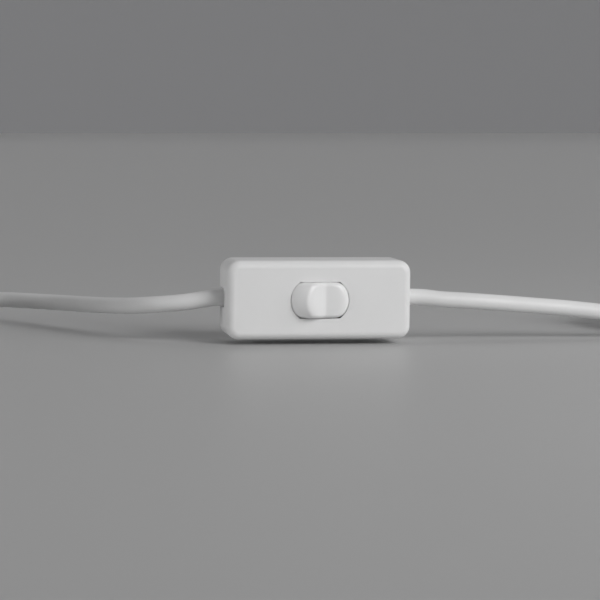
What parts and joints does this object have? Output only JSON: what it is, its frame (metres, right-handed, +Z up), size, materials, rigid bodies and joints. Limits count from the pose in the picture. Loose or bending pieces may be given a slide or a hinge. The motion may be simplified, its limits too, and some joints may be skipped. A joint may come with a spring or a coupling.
{
  "type": "in-line cord switch",
  "caption": "Oblong in-line cord switch with a rocker in a screwed clamshell housing, internal contacts and cord grips, a coiled cord on either side and a flat plug.",
  "frame": {"origin": "middle of the long side that the housing stands on", "axes": "+X along the cords towards the lamp side, -Y out of the rocker's face, +Z up"},
  "size_m": [0.3551, 0.1088, 0.0257],
  "materials": {
    "shell": "satin moulded",
    "rocker": "satin moulded",
    "acetal": "smooth",
    "grip": "moulded",
    "steel": "zinc plated",
    "brass": "stamped",
    "silver": "silver plated",
    "sheath": "soft satin",
    "plug": "moulded",
    "brown_core": "smooth",
    "blue_core": "smooth",
    "copper": "bright",
    "nickel": "nickel plated",
    "tin": "tin plated",
    "black_plastic": "smooth"
  },
  "bodies": {
    "housing": {"front_shell": "shell", "back_shell": "shell", "housing_screws": "steel", "lever_pin": "steel", "live_in_terminal": "brass", "live_out_terminal": "brass", "fixed_contact": "silver", "neutral_link": "brass", "terminal_screws": "steel", "left_cord_grip": "grip", "right_cord_grip": "grip", "cord_grip_screws": "steel", "left_sheath_end": "sheath", "right_sheath_end": "sheath", "left_live_core": "brown_core", "left_neutral_core": "blue_core", "right_live_core": "brown_core", "right_neutral_core": "blue_core", "stripped_conductors": "copper", "left_cord": "sheath", "left_coil": "sheath", "left_coil_tie": "black_plastic", "plug_lead": "sheath", "plug_strain_relief": "sheath", "plug_body": "plug", "plug_pins": "nickel", "plug_pin_sleeves": "black_plastic", "right_cord": "sheath", "right_coil": "sheath", "right_coil_tie": "black_plastic", "right_tail": "sheath", "tail_live_core": "brown_core", "tail_neutral_core": "blue_core", "tail_ferrules": "tin"},
    "rocker": {"rocker": "rocker", "plunger": "acetal", "plunger_spring": "steel"},
    "contact_lever": {"contact_lever": "brass", "moving_contact": "silver"}
  },
  "joints": [
    {"name": "rocker_tilt", "type": "hinge", "parent": "housing", "child": "rocker", "pos_m": [0, -0.0044, 0.0127], "axis": [0, 0, 1], "range_deg": [-26, 0]},
    {"name": "lever_tilt", "type": "hinge", "parent": "housing", "child": "contact_lever", "pos_m": [0, 0.0054, 0.0127], "axis": [0, 0, 1], "range_deg": [0, 14]}
  ],
  "couplings": [
    {"joint": "lever_tilt", "follows": "rocker_tilt", "ratio": -0.53846}
  ]
}
